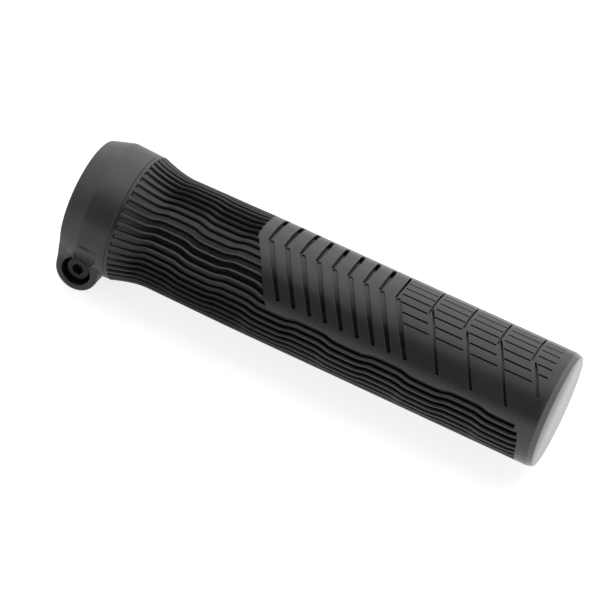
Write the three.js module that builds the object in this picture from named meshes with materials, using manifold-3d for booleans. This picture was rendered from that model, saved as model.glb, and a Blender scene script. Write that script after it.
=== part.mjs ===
// A lock-on handlebar grip for a bicycle: a ribbed rubber sleeve with a closed outboard end, moulded
// over a rigid core tube, and held on the bar by a split clamp collar with one socket-head screw.
// Millimetres. +X runs outboard along the bar axis, +Z points away from the clamp's lug, and the
// screw's head faces -Y. The origin is the centre of the closed outboard end face.
//
// "Station" means the distance outboard from the clamp's inboard face. "Angle" is in degrees around
// the bar axis, 0 at +Z, growing towards -Y.
import * as THREE from "three";
import { mergeVertices } from "three/addons/utils/BufferGeometryUtils.js";
import Module from "manifold-3d";

const wasm = await Module();
wasm.setup();

// Fits
const BAR_DIAMETER = 22.2;
const BAR_CLEARANCE = 0.1;
const SEAT_GAP = 0.3;

// Lengths along the bar
const GRIP_LENGTH = 135;
const COLLAR_WIDTH = 13.7;
const END_WALL = 3;
const FLARE_LENGTH = 10.5;
const RIM_WIDTH = 0.6;
const END_BAND = 4.7;

// Core tube
const CORE_WALL = 1.45;
const KEY_COUNT = 3;
const KEY_LENGTH = 4.7;
const KEY_WIDTH = 5;
const KEY_HEIGHT = 1.6;
const KEY_ROOT = 0.4;

// Rubber sleeve
const RUBBER_WALL = 2.44;
const BODY_RISE = 0.28;
const BODY_START = 48.2;
const FLARE_RISE = 2.06;
const FLARE_POWER = 1.7;
const FLARE_STEPS = 3;
const END_CHAMFER = 0.8;

// Wavy ribs
const RIB_COUNT = 45;
const GROOVE_WIDTH = 1.25;
const GROOVE_DEPTH = 1.1;
const WAVE_PITCH = 21.7;
const WAVE_START = 19.8;
const WAVE_SWING = 0.45;
const WAVE_RISE = 3;
const WAVE_CREST = 7.5;
const WAVE_FALL = 3.5;
const WAVE_SKEW = 2.3;
const WAVE_SKEW_ANGLE = 51;

// Chevron pad: between two ribs, about a vertex line
const PAD_FIRST_RIB = -5;
const PAD_LAST_RIB = 9;
const PAD_CORNER = 2.1;
const PAD_CORNER_FADE = 0.43;
const VERTEX_ANGLE = 16;
const LEG_END_ANGLE = 67.5;
const CREST_END_ANGLE = -26;
const LONG_CREST_END_ANGLE = -40;
const LEG_SLOPE = 0.169;

// Wide chevron grooves
const WIDE_START = 51.5;
const WIDE_PITCH = 4.475;
const WIDE_COUNT = 9;
const LONG_CREST_COUNT = 3;
const CREST_WIDTH = 1.0;
const LAST_CREST_WIDTH = 0.55;
const CREST_DEPTH = 1.3;
const LEG_WIDTH = 0.95;
const LEG_START_DEPTH = 0.45;
const LEG_DEPTH = 1.1;
const LEG_STEP = 0.6;

// Thin chevrons and lengthwise sipes
const THIN_PITCH = 9.5;
const SIPE_WIDTH = 0.35;
const SIPE_DEPTH = 0.8;
const THIN_LEG_SLOPE = 0.147;
const THIN_LEG_WIDTH = 0.8;
const THIN_LEG_EARLY = 7;
const THIN_LEG_LATE = 0.9;
const LINE_COUNT = 8;
const LINE_FIRST_ANGLE = 36;
const LINE_PITCH = 9.35;
const LINE_WIDTH = 0.3;
const LINE_DEPTH = 0.6;
const LINE_MARGIN = 1;
const LINE_END_MARGIN = 3.5;

// Clamp collar
const COLLAR_FACE_WALL = 4.75;
const COLLAR_CREST = 6.1;
const COLLAR_CREST_RISE = 0.35;
const COLLAR_EDGE = 0.35;
const SLIT_WIDTH = 2;

// Lug and screw
const SCREW_STATION = 5.55;
const SCREW_TO_BORE = 2.75;
const LUG_RADIUS = 6;
const LUG_HEAD_REACH = 13.6;
const LUG_FAR_REACH = 14.8;
const LUG_HEAD_EDGE = 0.8;
const LUG_FAR_EDGE = 2;
const LUG_SHOULDER = 5;
const SCREW_DIAMETER = 4;
const SCREW_LENGTH = 16;
const HEAD_DIAMETER = 7;
const HEAD_HEIGHT = 4;
const HEAD_RECESS = 1.2;
const HEAD_CLEARANCE = 0.6;
const HEAD_CHAMFER = 0.4;
const HEX_FLATS = 3;
const HEX_DEPTH = 2.2;

// Facets round a full turn
const COLLAR_FACETS = 72;
const CORE_FACETS = 45;
const SCREW_FACETS = 36;
const CUT_STEP_ANGLE = 13;
const LUG_STEPS = 14;
const OVERCUT = 0.6;
const MERGE_DISTANCE = 1e-5;

// Radii that follow from the sizes above
const boreRadius = (BAR_DIAMETER + BAR_CLEARANCE) / 2;
const coreRadius = boreRadius + CORE_WALL;
const seatRadius = coreRadius + SEAT_GAP;
const waistRadius = seatRadius + RUBBER_WALL;
const bodyRadius = waistRadius + BODY_RISE;
const flareRadius = waistRadius + FLARE_RISE;
const keyRadius = coreRadius + KEY_HEIGHT;
const screwRadius = SCREW_DIAMETER / 2;
const headRadius = HEAD_DIAMETER / 2;

// Stations that follow from the sizes above
const sleeveStart = COLLAR_WIDTH + SEAT_GAP;
const flareEnd = sleeveStart + FLARE_LENGTH;
const grooveStart = sleeveStart + RIM_WIDTH;
const grooveEnd = GRIP_LENGTH - END_BAND;
const blindStation = GRIP_LENGTH - END_WALL;
const coreStart = COLLAR_WIDTH - KEY_LENGTH - SEAT_GAP;
const recessStart = coreStart - SEAT_GAP;
const wideEnd = WIDE_START + WIDE_PITCH * (WIDE_COUNT - 1);

// Places of the screw
const screwHeight = -(boreRadius + SCREW_TO_BORE);
const counterboreFloor = -LUG_HEAD_REACH + HEAD_RECESS + HEAD_HEIGHT + SEAT_GAP;
const headSeat = counterboreFloor - SEAT_GAP;

const radians = THREE.MathUtils.degToRad;

function xAt(station) {
  return station - GRIP_LENGTH;
}

// The point at a station, an angle and a radius
function polar(station, angle, radius) {
  const turn = radians(angle);
  return new THREE.Vector3(xAt(station), -radius * Math.sin(turn), radius * Math.cos(turn));
}

// A closed solid from a three.js geometry, turned inside out where its faces point inwards
function solid(geometry) {
  const bare = geometry.index ? geometry.toNonIndexed() : geometry.clone();
  bare.deleteAttribute("normal");
  bare.deleteAttribute("uv");
  const merged = mergeVertices(bare, MERGE_DISTANCE);
  const corners = merged.index.array;
  const faces = [];
  for (let i = 0; i < corners.length; i += 3) {
    const [a, b, c] = corners.slice(i, i + 3);
    if (a !== b && b !== c && c !== a) faces.push([a, b, c]);
  }
  const points = merged.attributes.position.array;
  const outward = solidOf(points, faces);
  return outward.volume() < 0 ? solidOf(points, faces.map(([a, b, c]) => [a, c, b])) : outward;
}

function solidOf(points, faces) {
  return new wasm.Manifold(new wasm.Mesh({
    numProp: 3,
    vertProperties: new Float32Array(points),
    triVerts: new Uint32Array(faces.flat()),
  }));
}

// The geometry of a closed solid
function geometryOf(manifold) {
  const mesh = manifold.getMesh();
  const geometry = new THREE.BufferGeometry();
  geometry.setAttribute("position", new THREE.BufferAttribute(mesh.vertProperties, mesh.numProp));
  geometry.setIndex(new THREE.BufferAttribute(mesh.triVerts, 1));
  geometry.computeVertexNormals();
  return geometry;
}

// One solid from several
function joined(solids) {
  return solids.reduce((whole, next) => whole.add(next));
}

// A solid of revolution about the bar axis from [station, radius] points, its facet edges at
// whole multiples of the facet angle
function revolved(profile, facets) {
  const points = profile.map(([station, radius]) => new THREE.Vector2(radius, xAt(station)));
  points.push(points[0].clone());
  const geometry = new THREE.LatheGeometry(points, facets);
  geometry.rotateZ(-Math.PI / 2);
  return solid(geometry);
}

// A solid skinned over a row of sections, each with the same number of corners
function lofted(sections) {
  const size = sections[0].length;
  const positions = sections.flat().flatMap((corner) => corner.toArray());
  const faces = [];
  for (let row = 0; row + 1 < sections.length; row += 1) {
    for (let i = 0; i < size; i += 1) {
      const a = row * size + i;
      const b = row * size + (i + 1) % size;
      faces.push(a, b, b + size, a, b + size, a + size);
    }
  }
  const last = (sections.length - 1) * size;
  for (let i = 1; i + 1 < size; i += 1) {
    faces.push(0, i + 1, i, last, last + i, last + i + 1);
  }
  const geometry = new THREE.BufferGeometry();
  geometry.setAttribute("position", new THREE.Float32BufferAttribute(positions, 3));
  geometry.setIndex(faces);
  return solid(geometry);
}

// The sleeve's outer radius at a station, before any groove
function outerRadius(station) {
  if (station < flareEnd) {
    const fall = Math.min(1, (flareEnd - station) / (FLARE_LENGTH - RIM_WIDTH));
    return waistRadius + FLARE_RISE * fall ** FLARE_POWER;
  }
  const rise = (station - flareEnd) / (BODY_START - flareEnd);
  return waistRadius + BODY_RISE * Math.min(1, rise);
}

// The stations where a rib bends, and how far to the side it lies at each
function wavePoints(angle) {
  const shift = -WAVE_SKEW * Math.sin(radians(angle - WAVE_SKEW_ANGLE));
  const bends = [
    [0, WAVE_SWING],
    [WAVE_RISE, -WAVE_SWING],
    [WAVE_RISE + WAVE_CREST, -WAVE_SWING],
    [WAVE_RISE + WAVE_CREST + WAVE_FALL, WAVE_SWING],
  ];
  const points = [];
  for (let start = WAVE_START - 2 * WAVE_PITCH; start < GRIP_LENGTH; start += WAVE_PITCH) {
    for (const [along, offset] of bends) points.push([start + along + shift, offset]);
  }
  return points;
}

function waveAt(points, station) {
  const next = points.findIndex(([place]) => place >= station);
  const [s0, a0] = points[Math.max(0, next - 1)];
  const [s1, a1] = points[Math.max(1, next)];
  return a0 + (a1 - a0) * THREE.MathUtils.clamp((station - s0) / (s1 - s0), 0, 1);
}

// The cutter of one wavy groove: a V section, slid along the bar, over the flare and from side to
// side without turning, so that each wall is flat from bend to bend
function wavyGroove(angle, start, end) {
  const points = wavePoints(angle);
  const bends = points.map(([station]) => station);
  const rings = [...flareStations(), BODY_START];
  const inside = [...bends, ...rings].filter((s) => s > start + OVERCUT && s < end - OVERCUT);
  const stations = [start, ...new Set(inside), end].sort((a, b) => a - b);
  const turn = radians(angle);
  const sideways = new THREE.Vector3(0, -Math.cos(turn), -Math.sin(turn));
  const topWidth = GROOVE_WIDTH * (1 + OVERCUT / GROOVE_DEPTH);
  return lofted(stations.map((station) => {
    const middle = waveAt(points, station);
    const floor = polar(station, angle, outerRadius(station) - GROOVE_DEPTH);
    const top = polar(station, angle, outerRadius(station) + OVERCUT);
    return [
      floor.clone().addScaledVector(sideways, middle),
      top.clone().addScaledVector(sideways, middle + topWidth / 2),
      top.clone().addScaledVector(sideways, middle - topWidth / 2),
    ];
  }));
}

// The cutter of a straight-sided channel along a line of [station, angle] points; its width may
// be one number or a function of the share of the way along, and so may its depth
function channel(path, width, depth) {
  const [first, last] = [path[0], path[path.length - 1]];
  const along = new THREE.Vector2(last[0] - first[0], radians(last[1] - first[1]) * bodyRadius).normalize();
  const side = new THREE.Vector2(-along.y, along.x);
  return lofted(path.map(([station, angle], i) => {
    const share = i / (path.length - 1);
    const half = (typeof width === "function" ? width(share) : width) / 2;
    const floor = bodyRadius - (typeof depth === "function" ? depth(share) : depth);
    const top = bodyRadius + OVERCUT;
    const turn = THREE.MathUtils.radToDeg(half * side.y / bodyRadius);
    const shift = half * side.x;
    return [
      polar(station + shift, angle + turn, floor),
      polar(station - shift, angle - turn, floor),
      polar(station - shift, angle - turn, top),
      polar(station + shift, angle + turn, top),
    ];
  }));
}

// A line of points between two, at steps that follow the round surface
function stepped(from, to) {
  const steps = Math.max(1, Math.ceil(Math.abs(to[1] - from[1]) / CUT_STEP_ANGLE));
  const points = [];
  for (let i = 0; i <= steps; i += 1) {
    const share = i / steps;
    points.push([from[0] + (to[0] - from[0]) * share, from[1] + (to[1] - from[1]) * share]);
  }
  return points;
}

// The station where the pad's inboard edge lies at an angle
function padEdge(angle) {
  return BODY_START + LEG_SLOPE * Math.max(0, angle - VERTEX_ANGLE);
}

function wideChevrons() {
  const cutters = [];
  for (let i = 0; i < WIDE_COUNT; i += 1) {
    const vertex = WIDE_START + WIDE_PITCH * i;
    const crestEnd = i < LONG_CREST_COUNT ? LONG_CREST_END_ANGLE : CREST_END_ANGLE;
    const crestWidth = i === WIDE_COUNT - 1 ? LAST_CREST_WIDTH : CREST_WIDTH;
    cutters.push(channel(stepped([vertex, VERTEX_ANGLE], [vertex, crestEnd]), crestWidth, CREST_DEPTH));
    const legStart = [vertex + LEG_STEP, VERTEX_ANGLE];
    const legEnd = [legStart[0] + LEG_SLOPE * (LEG_END_ANGLE - VERTEX_ANGLE), LEG_END_ANGLE];
    const depth = (share) => LEG_START_DEPTH + (LEG_DEPTH - LEG_START_DEPTH) * share;
    cutters.push(channel(stepped(legStart, legEnd), LEG_WIDTH, depth));
  }
  return cutters;
}

// The thin chevrons that fill the pad outboard of the wide ones: [vertex, leg start, leg end]
function thinChevronLines() {
  const lines = [];
  for (let vertex = wideEnd + THIN_PITCH; vertex < grooveEnd - OVERCUT; vertex += THIN_PITCH) {
    const late = lines.length % 2 === 1;
    const start = [vertex + (late ? LEG_STEP + THIN_LEG_LATE : LEG_STEP),
      VERTEX_ANGLE - (late ? 0 : THIN_LEG_EARLY)];
    const reach = Math.min(LEG_END_ANGLE, start[1] + (grooveEnd - start[0]) / THIN_LEG_SLOPE);
    const end = [start[0] + THIN_LEG_SLOPE * (reach - start[1]), reach];
    lines.push({ vertex, start, end });
  }
  return lines;
}

function thinChevrons() {
  return thinChevronLines().flatMap(({ vertex, start, end }) => [
    channel(stepped([vertex, VERTEX_ANGLE], [vertex, CREST_END_ANGLE]), SIPE_WIDTH, SIPE_DEPTH),
    channel(stepped(start, end), (share) => SIPE_WIDTH + (THIN_LEG_WIDTH - SIPE_WIDTH) * share,
      LEG_DEPTH),
  ]);
}

// The station where a chevron crosses an angle
function crossing(vertex, slope, angle) {
  return vertex + slope * Math.max(0, angle - VERTEX_ANGLE);
}

function lengthwiseSipes() {
  const cutters = [];
  const vertices = thinChevronLines().map(({ vertex }) => vertex);
  for (let i = 0; i < LINE_COUNT; i += 1) {
    const angle = LINE_FIRST_ANGLE - LINE_PITCH * i;
    const starts = [crossing(wideEnd, LEG_SLOPE, angle),
      ...vertices.map((vertex) => crossing(vertex, THIN_LEG_SLOPE, angle))];
    const ends = [...starts.slice(1), GRIP_LENGTH - LINE_END_MARGIN];
    starts.forEach((start, k) => {
      const from = start + LINE_MARGIN + (angle > VERTEX_ANGLE ? LEG_STEP : 0);
      const to = ends[k] - SIPE_WIDTH;
      if (to - from > LINE_MARGIN) {
        cutters.push(channel([[from, angle], [to, angle]], LINE_WIDTH, LINE_DEPTH));
      }
    });
  }
  return cutters;
}

function flareStations() {
  const stations = [];
  for (let i = 0; i <= FLARE_STEPS; i += 1) {
    const share = i / FLARE_STEPS;
    stations.push(grooveStart + (flareEnd - grooveStart) * share);
  }
  return stations;
}

function wavyGrooves() {
  const cutters = [];
  const pitch = 360 / RIB_COUNT;
  const long = RIB_COUNT - (PAD_LAST_RIB - PAD_FIRST_RIB + 1);
  for (let rib = PAD_FIRST_RIB; rib <= PAD_LAST_RIB; rib += 1) {
    cutters.push(wavyGroove(rib * pitch, grooveStart, padEdge(rib * pitch)));
  }
  for (let i = 0; i < long; i += 1) {
    const fromPad = Math.min(i, long - 1 - i);
    const end = grooveEnd - PAD_CORNER * PAD_CORNER_FADE ** fromPad;
    cutters.push(wavyGroove((PAD_LAST_RIB + 1 + i) * pitch, grooveStart, end));
  }
  return cutters;
}

function sleeveGeometry() {
  const outer = flareStations().map((station) => [station, outerRadius(station)]);
  const blank = revolved([
    [sleeveStart, seatRadius],
    [sleeveStart, flareRadius],
    ...outer,
    [BODY_START, bodyRadius],
    [GRIP_LENGTH - END_CHAMFER, bodyRadius],
    [GRIP_LENGTH, bodyRadius - END_CHAMFER],
    [GRIP_LENGTH, 0],
    [blindStation, 0],
    [blindStation, seatRadius],
  ], RIB_COUNT);
  const cutters = [...wavyGrooves(), ...wideChevrons(), ...thinChevrons(), ...lengthwiseSipes()];
  return geometryOf(blank.subtract(joined(cutters)));
}

// A block that keys the core into the collar, grown by a clearance on its sides and top
function keyBlock(angle, from, to, clearance) {
  const low = coreRadius - KEY_ROOT;
  const high = keyRadius + clearance;
  const width = KEY_WIDTH + 2 * clearance;
  const block = new THREE.BoxGeometry(to - from, width, high - low);
  block.translate(xAt((from + to) / 2), 0, (low + high) / 2);
  block.rotateX(radians(angle));
  return solid(block);
}

function keyAngles() {
  return Array.from({ length: KEY_COUNT }, (unused, i) => 360 * i / KEY_COUNT);
}

function coreGeometry() {
  const tube = revolved([
    [coreStart, boreRadius],
    [coreStart, coreRadius],
    [blindStation - SEAT_GAP, coreRadius],
    [blindStation - SEAT_GAP, boreRadius],
  ], CORE_FACETS);
  const keys = keyAngles().map((angle) => keyBlock(angle, coreStart, coreStart + KEY_LENGTH, 0));
  return geometryOf(tube.add(joined(keys)));
}

// The lug's section across the screw: flat at the inboard face, round below, flat outboard
function lugSection(y, inset) {
  const radius = LUG_RADIUS - inset;
  const reach = SCREW_STATION - inset;
  const first = reach < radius ? Math.acos(-reach / radius) : Math.PI;
  const corners = [new THREE.Vector3(xAt(SCREW_STATION - Math.min(reach, radius)), y, -LUG_SHOULDER)];
  for (let i = 0; i <= LUG_STEPS; i += 1) {
    const turn = first * (1 - i / LUG_STEPS);
    const station = SCREW_STATION + radius * Math.cos(turn);
    corners.push(new THREE.Vector3(xAt(station), y, screwHeight - radius * Math.sin(turn)));
  }
  corners.push(new THREE.Vector3(xAt(SCREW_STATION + radius), y, -LUG_SHOULDER));
  return corners;
}

function lugSolid() {
  const rounding = [0, 30, 60, 90].map((angle) => [
    LUG_FAR_EDGE * (1 - Math.sin(radians(angle))),
    LUG_FAR_EDGE * (1 - Math.cos(radians(angle))),
  ]);
  return lofted([
    lugSection(-LUG_HEAD_REACH, LUG_HEAD_EDGE),
    lugSection(-LUG_HEAD_REACH + LUG_HEAD_EDGE, 0),
    ...rounding.map(([inset, back]) => lugSection(LUG_FAR_REACH - back, inset)).reverse(),
  ]);
}

// A cylinder about the screw's axis between two places along Y
function screwCylinder(radius, from, to) {
  const cylinder = new THREE.CylinderGeometry(radius, radius, to - from, SCREW_FACETS);
  cylinder.translate(xAt(SCREW_STATION), (from + to) / 2, screwHeight);
  return solid(cylinder);
}

function collarGeometry() {
  const faceRadius = boreRadius + COLLAR_FACE_WALL;
  const ring = revolved([
    [0, 0],
    [0, faceRadius - COLLAR_EDGE],
    [COLLAR_EDGE, faceRadius],
    [COLLAR_CREST, flareRadius + COLLAR_CREST_RISE],
    [COLLAR_WIDTH, flareRadius],
    [COLLAR_WIDTH, 0],
  ], COLLAR_FACETS);
  const bore = revolved([
    [-OVERCUT, 0],
    [-OVERCUT, boreRadius],
    [recessStart, boreRadius],
    [recessStart, seatRadius],
    [COLLAR_WIDTH + OVERCUT, seatRadius],
    [COLLAR_WIDTH + OVERCUT, 0],
  ], COLLAR_FACETS);
  const keyways = keyAngles().map((angle) => (
    keyBlock(angle, recessStart, COLLAR_WIDTH + OVERCUT, SEAT_GAP)));
  const slitDepth = LUG_RADIUS - screwHeight + OVERCUT;
  const slit = new THREE.BoxGeometry(COLLAR_WIDTH + 2 * OVERCUT, SLIT_WIDTH, slitDepth);
  slit.translate(xAt(COLLAR_WIDTH / 2), 0, -slitDepth / 2);
  const headHole = headRadius + HEAD_CLEARANCE;
  const shankHole = screwRadius + SEAT_GAP;
  const shankEnd = headSeat + SCREW_LENGTH + SEAT_GAP;
  return geometryOf(ring.add(lugSolid()).subtract(joined([
    bore,
    ...keyways,
    solid(slit),
    screwCylinder(headHole, -LUG_HEAD_REACH - flareRadius, counterboreFloor),
    screwCylinder(shankHole, counterboreFloor - SEAT_GAP, shankEnd),
  ])));
}

// The screw stands on the origin here, its head up, and is laid along Y when it is placed
function screwGeometry() {
  const profile = [
    [0, -SCREW_LENGTH],
    [screwRadius - HEAD_CHAMFER, -SCREW_LENGTH],
    [screwRadius, -SCREW_LENGTH + HEAD_CHAMFER],
    [screwRadius, 0],
    [headRadius, 0],
    [headRadius, HEAD_HEIGHT - HEAD_CHAMFER],
    [headRadius - HEAD_CHAMFER, HEAD_HEIGHT],
    [0, HEAD_HEIGHT],
  ].map(([radius, height]) => new THREE.Vector2(radius, height));
  const body = solid(new THREE.LatheGeometry(profile, SCREW_FACETS));
  const hexRadius = HEX_FLATS / Math.sqrt(3);
  const socket = new THREE.CylinderGeometry(hexRadius, hexRadius, HEX_DEPTH + OVERCUT, 6);
  socket.translate(0, HEAD_HEIGHT + (OVERCUT - HEX_DEPTH) / 2, 0);
  return geometryOf(body.subtract(solid(socket)));
}

function mesh(name, geometry, color, roughness, metalness) {
  const piece = new THREE.Mesh(geometry, new THREE.MeshStandardMaterial({ color, roughness, metalness }));
  piece.name = name;
  return piece;
}

const screw = mesh("clamp_screw", screwGeometry(), 0x1c1d1f, 0.4, 0.8);
screw.rotation.z = Math.PI;
screw.position.set(xAt(SCREW_STATION), headSeat, screwHeight);

const grip = new THREE.Group();
grip.name = "handlebar_grip";
grip.add(mesh("grip_sleeve", sleeveGeometry(), 0x3c3d3e, 0.75, 0));
grip.add(mesh("core_sleeve", coreGeometry(), 0x17181a, 0.5, 0));
grip.add(mesh("clamp_collar", collarGeometry(), 0x47484a, 0.45, 0.6));
grip.add(screw);

export default grip;
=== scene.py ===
# A lock-on handlebar grip: ribbed rubber sleeve, core tube, split clamp collar and socket-head screw.
# Shapes are worked out in millimetres and put into meshes in metres. "Station" is the distance
# outboard from the clamp's inboard face, and "angle" is in degrees round the bar axis, 0 at +Z and
# growing towards -Y.
import math

import bmesh
import bpy
import numpy as np
from mathutils import Matrix, Vector


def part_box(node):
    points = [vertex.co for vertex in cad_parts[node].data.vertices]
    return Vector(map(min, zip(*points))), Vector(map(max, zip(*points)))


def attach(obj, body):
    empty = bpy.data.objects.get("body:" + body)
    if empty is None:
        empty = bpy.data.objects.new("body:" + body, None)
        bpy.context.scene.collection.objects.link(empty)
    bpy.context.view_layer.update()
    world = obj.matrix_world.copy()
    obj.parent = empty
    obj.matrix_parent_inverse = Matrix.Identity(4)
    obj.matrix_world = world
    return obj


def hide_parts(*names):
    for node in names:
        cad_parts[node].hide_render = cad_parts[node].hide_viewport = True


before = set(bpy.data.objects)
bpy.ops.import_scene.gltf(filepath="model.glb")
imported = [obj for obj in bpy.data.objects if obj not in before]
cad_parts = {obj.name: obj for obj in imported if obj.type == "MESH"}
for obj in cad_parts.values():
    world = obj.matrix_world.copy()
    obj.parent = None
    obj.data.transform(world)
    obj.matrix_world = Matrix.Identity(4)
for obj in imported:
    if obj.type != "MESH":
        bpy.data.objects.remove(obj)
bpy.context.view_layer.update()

MM = 0.001

# Sizes read from the frame
collar_low, collar_high = (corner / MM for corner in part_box("clamp_collar"))
sleeve_low, sleeve_high = (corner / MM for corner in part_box("grip_sleeve"))
core_low, core_high = (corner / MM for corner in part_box("core_sleeve"))
screw_low, screw_high = (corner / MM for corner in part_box("clamp_screw"))
GRIP_LENGTH = -collar_low.x
COLLAR_WIDTH = collar_high.x - collar_low.x
SLEEVE_START = GRIP_LENGTH + sleeve_low.x
FLARE_RADIUS = sleeve_high.z
CORE_START = GRIP_LENGTH + core_low.x
CORE_END = GRIP_LENGTH + core_high.x
SCREW_STATION = GRIP_LENGTH + (screw_low.x + screw_high.x) / 2
SCREW_HEIGHT = (screw_low.z + screw_high.z) / 2
HEAD_RADIUS = (screw_high.x - screw_low.x) / 2

# Sleeve
FLARE_RISE = 2.06
FLARE_LENGTH = 10.5
FLARE_POWER = 1.7
BODY_RISE = 0.28
BODY_START = 48.2
RIM_WIDTH = 0.6
RIM_GAP = 0.04
RIM_ROUND = 0.1
END_BAND = 4.7
END_BEVEL_LENGTH = 1.5
END_BEVEL_DROP = 0.42
END_ROUND = 0.12
END_ROW_GAP = 0.5
END_WALL = 3.0
RUBBER_WALL = 2.44
SEAT_GAP = 0.3
WAIST_RADIUS = FLARE_RADIUS - FLARE_RISE
BODY_RADIUS = WAIST_RADIUS + BODY_RISE
SEAT_RADIUS = WAIST_RADIUS - RUBBER_WALL
FLARE_END = SLEEVE_START + FLARE_LENGTH
GROOVE_START = SLEEVE_START + RIM_WIDTH
GROOVE_END = GRIP_LENGTH - END_BAND

# Wavy ribs. Half a groove's section is given as (share of the half pitch from its middle, share of
# its depth). Near the collar grooves are narrower and shallower, and inboard of the fade wider.
RIB_COUNT = 45
RIB_PITCH = 360 / RIB_COUNT
GROOVE_DEPTH = 1.3
RIB_SECTION = ((0.0, 1.0), (0.37, 0.97), (0.545, 0.43), (0.605, 0.22), (0.68, 0.10), (0.79, 0.03))
FLARE_GROOVE_WIDTH = 0.82
FLARE_GROOVE_DEPTH = 0.5
INBOARD_GROOVE_WIDTH = 1.2
INBOARD_GROOVE_FADE = (45.0, 75.0)
WAVE_PITCH = 21.7
WAVE_CREST = 28.4
WAVE_SWING = 0.47
WAVE_SHARPNESS = 2.4
WAVE_SKEW = 2.3
WAVE_SKEW_ANGLE = 51

# Smooth pad between two ribs. The ring rows bend to its edge and to the grooves' outboard ends
# between the stations of the two bends.
PAD_FIRST_RIB = -5
PAD_LAST_RIB = 9
PAD_CORNER = 2.1
PAD_CORNER_FADE = 0.43
VERTEX_ANGLE = 16
LEG_END_ANGLE = 67.5
CREST_END_ANGLE = -26
LONG_CREST_END_ANGLE = -40
LEG_SLOPE = 0.169
PAD_EDGE_RETURN_ANGLE = 170
PAD_EDGE_BEND = (26, 90)
GROOVE_END_BEND = (110, 134.2)
EDGE_WIDTH = 0.22
ROW_SPACING = 1.05
ROW_NEAREST = 0.3
RIM_EDGE = 0.02

# Wide chevrons
WIDE_START = 51.5
WIDE_PITCH = 4.475
WIDE_COUNT = 9
LONG_CREST_COUNT = 3
CREST_WIDTH = 1.12
LAST_CREST_WIDTH = 0.6
CREST_TIP_SHARE = 0.55
CREST_TAPER = 3
CREST_DEPTH = 1.4
CREST_BOW = 0.35
LEG_WIDTH = 1.2
LEG_START_DEPTH = 0.4
LEG_DEPTH = 1.35
LEG_STEP = 0.6
LEG_OVERLAP_ANGLE = 1.2

# Thin chevrons and lengthwise sipes
THIN_PITCH = 9.5
SIPE_WIDTH = 0.45
SIPE_DEPTH = 0.9
THIN_LEG_SLOPE = 0.147
THIN_LEG_WIDTH = 0.8
THIN_LEG_STEP = 0.15
THIN_LEG_EARLY = 7
THIN_LEG_LATE = 0.9
THIN_LEG_MARGIN = 4.1
LINE_COUNT = 8
LINE_FIRST_ANGLE = 36
LINE_PITCH = 9.35
LINE_WIDTH = 0.36
LINE_DEPTH = 0.9
LINE_SHORTEST = 2.0
LINE_MARGIN = 1.0
LINE_END_MARGIN = 3.5
LINE_POINT_SPACING = 2.0
CUT_POINT_SPACING = 0.4
CUT_TIP_SHARE = 0.12
CUT_CHAMFER = 0.06
OVERCUT = 0.6

# Core tube and its keys
BORE_RADIUS = 11.15
CORE_RADIUS = SEAT_RADIUS - SEAT_GAP
CORE_EDGE = 0.2
KEY_COUNT = 3
KEY_WIDTH = 5.0
KEY_HEIGHT = 1.6
KEY_LENGTH = 4.7
KEY_ROOT = 0.4

# Collar and lug
FACE_RADIUS = 15.9
CREST_STATION = 6.1
CREST_RISE = 0.35
SLIT_WIDTH = 2.0
LUG_RADIUS = 6.0
LUG_HEAD_REACH = 13.6
LUG_FAR_REACH = 14.8
LUG_HEAD_EDGE = 0.8
LUG_FAR_EDGE = 2.0
LUG_SHOULDER = 5.0
LUG_CHEEK = 9.0
HEAD_CLEARANCE = 0.6
MOUTH_MARGIN = 0.1
MOUTH_SHADE_START = -13.2
COLLAR_VOXEL = 0.24
COLLAR_SMOOTHING = 4
SMOOTHING_FACTOR = 0.5

# Web that eases the cone into the head end of the lug: corners as (station, y, z)
LUG_WEB = (
    (0.1, -15.75, -1.8), (-0.35, -13.55, -11.0), (3.2, -16.5, -3.6), (3.0, -13.65, -10.8),
    (0.1, -10.0, -3.0), (-0.35, -10.0, -11.0), (3.2, -10.0, -3.6), (3.0, -10.0, -10.8),
)

# Flat that clears the driver beside the screw's mouth: its corners as (station, z), and its slope
DRIVER_FLAT = ((4.9, -2.6), (11.7, -2.6), (11.7, -5.4), (9.3, -9.8), (7.6, -11.0), (4.9, -10.4))
DRIVER_FLAT_LOW = (-13.65, -9.4)
DRIVER_FLAT_HIGH = (-17.75, -3.0)
DRIVER_FLAT_REACH = 4

# Groove above the flat: corners as (y, z)
RIDGE_GROOVE = ((-19.0, -0.5), (-17.85, -0.5), (-17.1, -2.2), (-17.75, -2.7), (-19.0, -2.7))
RIDGE_GROOVE_START = 6.4
RIDGE_GROOVE_END = 11.9

# Screw
HEAD_HEIGHT = 4.0
HEAD_SINK = 0.15
SHANK_RADIUS = 2.0
HEX_FLATS = 3.0
HEX_DEPTH = 2.2
HEAD_CHAMFER = 0.35
THREAD_PITCH = 0.7
THREAD_DEPTH = 0.35
THREAD_START = 6.0

# Facets round a full turn, and steps of a quarter or half turn
COLLAR_SEGMENTS = 256
CORE_SEGMENTS = 160
SCREW_SEGMENTS = 96
SHANK_HOLE_SEGMENTS = 64
HEX_SIDES = 6
LUG_STEPS = 40
LUG_HEAD_STEPS = 6
LUG_FAR_STEPS = 8

# Share of a rounding's size at which its middle point lies
ROUND_MIDDLE = 0.3

# Noise in the materials
NOISE_LOW = 0.3
NOISE_HIGH = 0.7
BROAD_SCALE = 90
BROAD_DETAIL = 3
FINE_DETAIL = 6
RAMP_START = 0.35
RAMP_END = 0.65
RELIEF_DISTANCE = 0.05

# Painted shade in the grooves: between these depths below the outer surface the rubber's colour turns to
# the dark shade colour
GROOVE_SHADE_START = 0.15
GROOVE_SHADE_END = 0.8
GROOVE_SHADE_COLOUR = (0.006, 0.006, 0.006, 1)

# Faces of the sleeve's end whose normal turns outboard by more than these are bevel or end face, which
# get lighter copies of the rubber as painted light
BEVEL_NORMAL = 0.1
END_NORMAL = 0.5

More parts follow.
